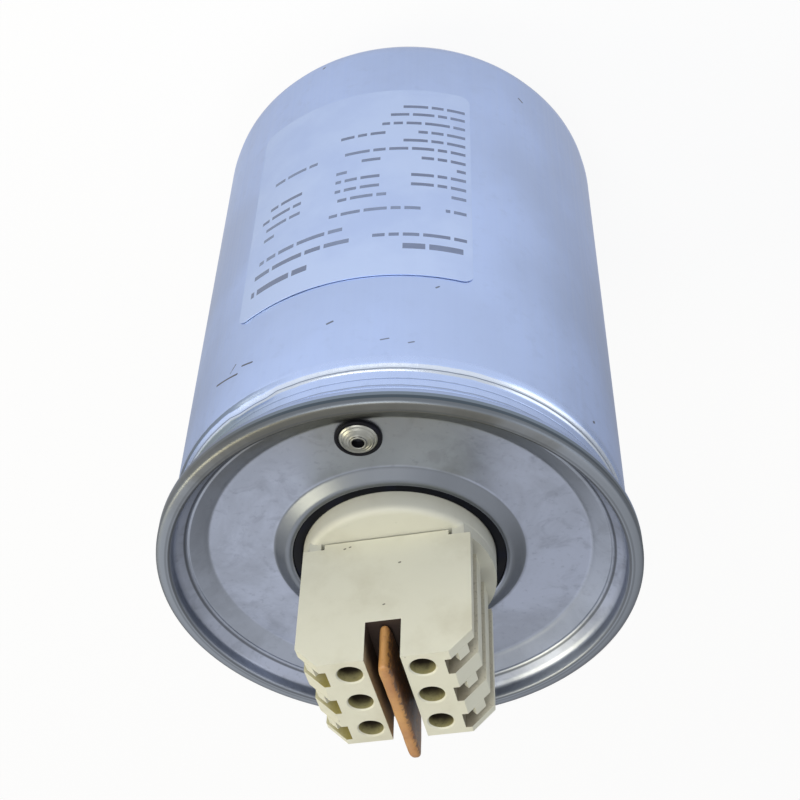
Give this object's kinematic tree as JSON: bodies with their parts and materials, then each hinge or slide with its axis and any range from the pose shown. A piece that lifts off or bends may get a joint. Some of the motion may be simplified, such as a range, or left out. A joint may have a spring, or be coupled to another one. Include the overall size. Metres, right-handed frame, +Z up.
{
  "type": "power factor correction capacitor",
  "caption": "Round aluminium can with a rolled rim, a base stud, a dished lid with a filling vent, and a moulded terminal block with wire clamps and a plugged discharge module.",
  "frame": {"origin": "centre of the flat seat at the can's base, where the fixing stud leaves it", "axes": "+Z up the can's axis towards the terminals; +X and -X are the terminal block's two grooved sides; -Y is its plain face"},
  "size_m": [0.1216, 0.1216, 0.2175],
  "materials": {
    "can_metal": "satin drawn aluminium",
    "lid_metal": "satin pressed aluminium",
    "seal_compound": "matte sealing compound",
    "gasket_rubber": "matte black rubber",
    "base_plastic": "cream moulded plastic",
    "block_plastic": "cream moulded plastic",
    "clamp_steel": "zinc plated steel",
    "screw_steel": "zinc plated steel",
    "bar_metal": "tin plated brass",
    "module_lacquer": "orange brown lacquer",
    "vent_metal": "satin aluminium",
    "vent_rubber": "black rubber",
    "insulation": "off-white insulating board",
    "winding_film": "metallised film roll with sprayed ends",
    "lead_copper": "tinned copper wire",
    "label_film": "pale silver film, no print"
  },
  "bodies": {
    "root": {"can": "can_metal", "fixing_stud": "can_metal", "lid": "lid_metal", "rim_seal": "seal_compound", "terminal_gasket": "gasket_rubber", "terminal_base": "base_plastic", "terminal_block": "block_plastic", "clamp_cage_left_1": "clamp_steel", "clamp_cage_right_1": "clamp_steel", "clamp_cage_left_2": "clamp_steel", "clamp_cage_right_2": "clamp_steel", "clamp_cage_left_3": "clamp_steel", "clamp_cage_right_3": "clamp_steel", "clamp_screws": "screw_steel", "phase_bar_1": "bar_metal", "phase_bar_2": "bar_metal", "phase_bar_3": "bar_metal", "discharge_module": "module_lacquer", "module_blade_1": "bar_metal", "module_blade_2": "bar_metal", "module_blade_3": "bar_metal", "vent_rivet": "vent_metal", "vent_ring": "vent_rubber", "bottom_insulator": "insulation", "liner_sleeve": "insulation", "core_tube": "insulation", "winding_1": "winding_film", "spacer_disc_1": "insulation", "phase_lead_1": "lead_copper", "winding_2": "winding_film", "spacer_disc_2": "insulation", "phase_lead_2": "lead_copper", "winding_3": "winding_film", "spacer_disc_3": "insulation", "phase_lead_3": "lead_copper", "rating_label": "label_film"}
  },
  "joints": []
}
